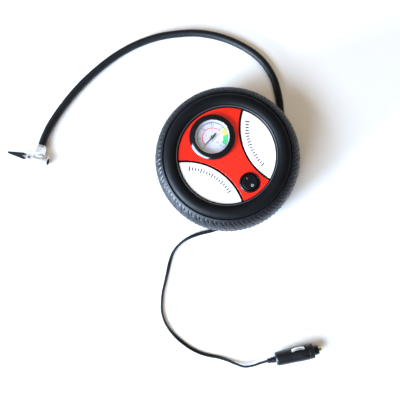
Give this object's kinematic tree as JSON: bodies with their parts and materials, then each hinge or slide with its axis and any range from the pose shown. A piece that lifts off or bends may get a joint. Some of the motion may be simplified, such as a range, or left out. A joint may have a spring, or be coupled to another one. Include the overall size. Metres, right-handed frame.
{
  "type": "portable tire inflator",
  "caption": "Wheel-shaped 12 V tyre inflator with a dial gauge and rocker switch in its face, an air hose with a thumb-lock chuck, and a cord with a vehicle plug.",
  "frame": {"origin": "centre of the flat rear rim, on the surface that the housing lies on", "axes": "+Z out of the face, +Y from the centre of the face towards the gauge, +X across the face"},
  "size_m": [0.3131, 0.4313, 0.0624],
  "materials": {
    "black_shell": "satin moulded, fine grain",
    "red_plastic": "gloss",
    "white_plastic": "gloss",
    "bezel_black": "high gloss",
    "clear_lens": "clear",
    "dial_white": "printed",
    "pointer_black": "satin",
    "brass": "machined",
    "steel": "plated",
    "zinc": "cast",
    "chrome": "polished nickel",
    "motor_steel": "zinc plated",
    "magnet": "ferrite",
    "winding": "enamelled copper on laminations",
    "nylon": "natural nylon",
    "ring_black": "graphite filled",
    "hose_rubber": "satin",
    "cord_black": "soft satin",
    "plug_black": "satin gloss",
    "switch_black": "gloss",
    "black_steel": "black oxide",
    "fuse_glass": "clear",
    "wire_red": "satin"
  },
  "bodies": {
    "housing": {"front_shell": "black_shell", "rear_shell": "black_shell", "hub_cover": "black_shell", "housing_screws": "steel", "cover_screws": "steel", "red_panel": "red_plastic", "left_panel": "white_plastic", "right_panel": "white_plastic", "gauge_case": "motor_steel", "gauge_bezel": "bezel_black", "gauge_lens": "clear_lens", "gauge_dial": "dial_white", "movement_plates": "brass", "bourdon_tube": "brass", "gauge_stem": "brass", "gauge_line": "hose_rubber", "switch_body": "switch_black", "switch_terminals": "brass", "compressor_frame": "steel", "motor_can": "motor_steel", "motor_magnets": "magnet", "motor_end_bell": "nylon", "axle_bush": "brass", "cylinder": "zinc", "cylinder_head": "zinc", "head_screws": "steel", "outlet_elbow": "chrome", "wiring": "wire_red", "cord_gland": "cord_black", "cord_coil": "cord_black", "power_cord": "cord_black", "cord_boot": "plug_black", "plug_body": "plug_black", "plug_nose": "plug_black", "plug_fuse": "fuse_glass", "tip_spring": "steel", "air_hose": "hose_rubber", "hose_ferrule": "chrome", "chuck_body": "chrome", "chuck_seal": "ring_black", "lever_pin": "black_steel"},
    "rocker": {"switch_rocker": "switch_black"},
    "pointer": {"gauge_pointer": "pointer_black"},
    "sector": {"sector_gear": "brass"},
    "rotor": {"motor_rotor": "winding", "motor_shaft": "steel", "motor_pinion": "brass"},
    "crank": {"crank_gear": "nylon", "crank_axle": "steel", "crank_pin": "steel"},
    "piston": {"piston": "zinc", "wrist_pin": "steel", "piston_ring": "ring_black"},
    "rod": {"connecting_rod": "zinc"},
    "lever": {"chuck_lever": "chrome", "lever_grip": "plug_black"},
    "plunger": {"chuck_plunger": "brass"},
    "contact_a": {"plug_contact_a": "chrome"},
    "contact_b": {"plug_contact_b": "chrome"},
    "tip": {"plug_tip": "brass"}
  },
  "joints": [
    {"name": "switch_tip", "type": "hinge", "parent": "housing", "child": "rocker", "pos_m": [0, -0.039, 0.054], "axis": [-1, 0, 0], "range_deg": [0, 16]},
    {"name": "sector_turn", "type": "hinge", "parent": "housing", "child": "sector", "pos_m": [0.014, 0.0254, 0.049], "axis": [0, 0, 1], "range_deg": [0, 45]},
    {"name": "pointer_turn", "type": "hinge", "parent": "housing", "child": "pointer", "pos_m": [0, 0.0254, 0.057], "axis": [0, 0, 1], "range_deg": [-270, 0]},
    {"name": "crank_spin", "type": "hinge", "parent": "housing", "child": "crank", "pos_m": [-0.005, 0.01555, 0.02], "axis": [1, 0, 0], "continuous": true},
    {"name": "rotor_spin", "type": "hinge", "parent": "housing", "child": "rotor", "pos_m": [0, -0.00375, 0.02], "axis": [1, 0, 0], "continuous": true},
    {"name": "piston_slide", "type": "slide", "parent": "housing", "child": "piston", "axis": [0, -1, 0], "range_m": [0, 0.012]},
    {"name": "rod_swing", "type": "hinge", "parent": "piston", "child": "rod", "pos_m": [-0.014, -0.01245, 0.02], "axis": [1, 0, 0], "range_deg": [-10, 10]},
    {"name": "lever_fold", "type": "hinge", "parent": "housing", "child": "lever", "pos_m": [-0.17902, 0.15648, 0.007], "axis": [0, 0, 1], "range_deg": [0, 90]},
    {"name": "plunger_slide", "type": "slide", "parent": "housing", "child": "plunger", "axis": [-0.6018, 0.7986, 0], "range_m": [0, 0.002]},
    {"name": "contact_a_press", "type": "slide", "parent": "housing", "child": "contact_a", "axis": [-0.3258, -0.6679, -0.6691], "range_m": [0, 0.0011], "stiffness_N_per_m": 400},
    {"name": "contact_b_press", "type": "slide", "parent": "housing", "child": "contact_b", "axis": [0.3258, 0.6679, 0.6691], "range_m": [0, 0.0011], "stiffness_N_per_m": 400},
    {"name": "tip_press", "type": "slide", "parent": "housing", "child": "tip", "axis": [-0.8988, 0.4384, 0], "range_m": [0, 0.0025], "stiffness_N_per_m": 300, "deforming": ["tip_spring"]}
  ],
  "couplings": [
    {"joint": "pointer_turn", "follows": "sector_turn", "ratio": -6},
    {"joint": "rotor_spin", "follows": "crank_spin", "ratio": -4},
    {"joint": "plunger_slide", "follows": "lever_fold", "m_per_rad": 0.001272}
  ]
}
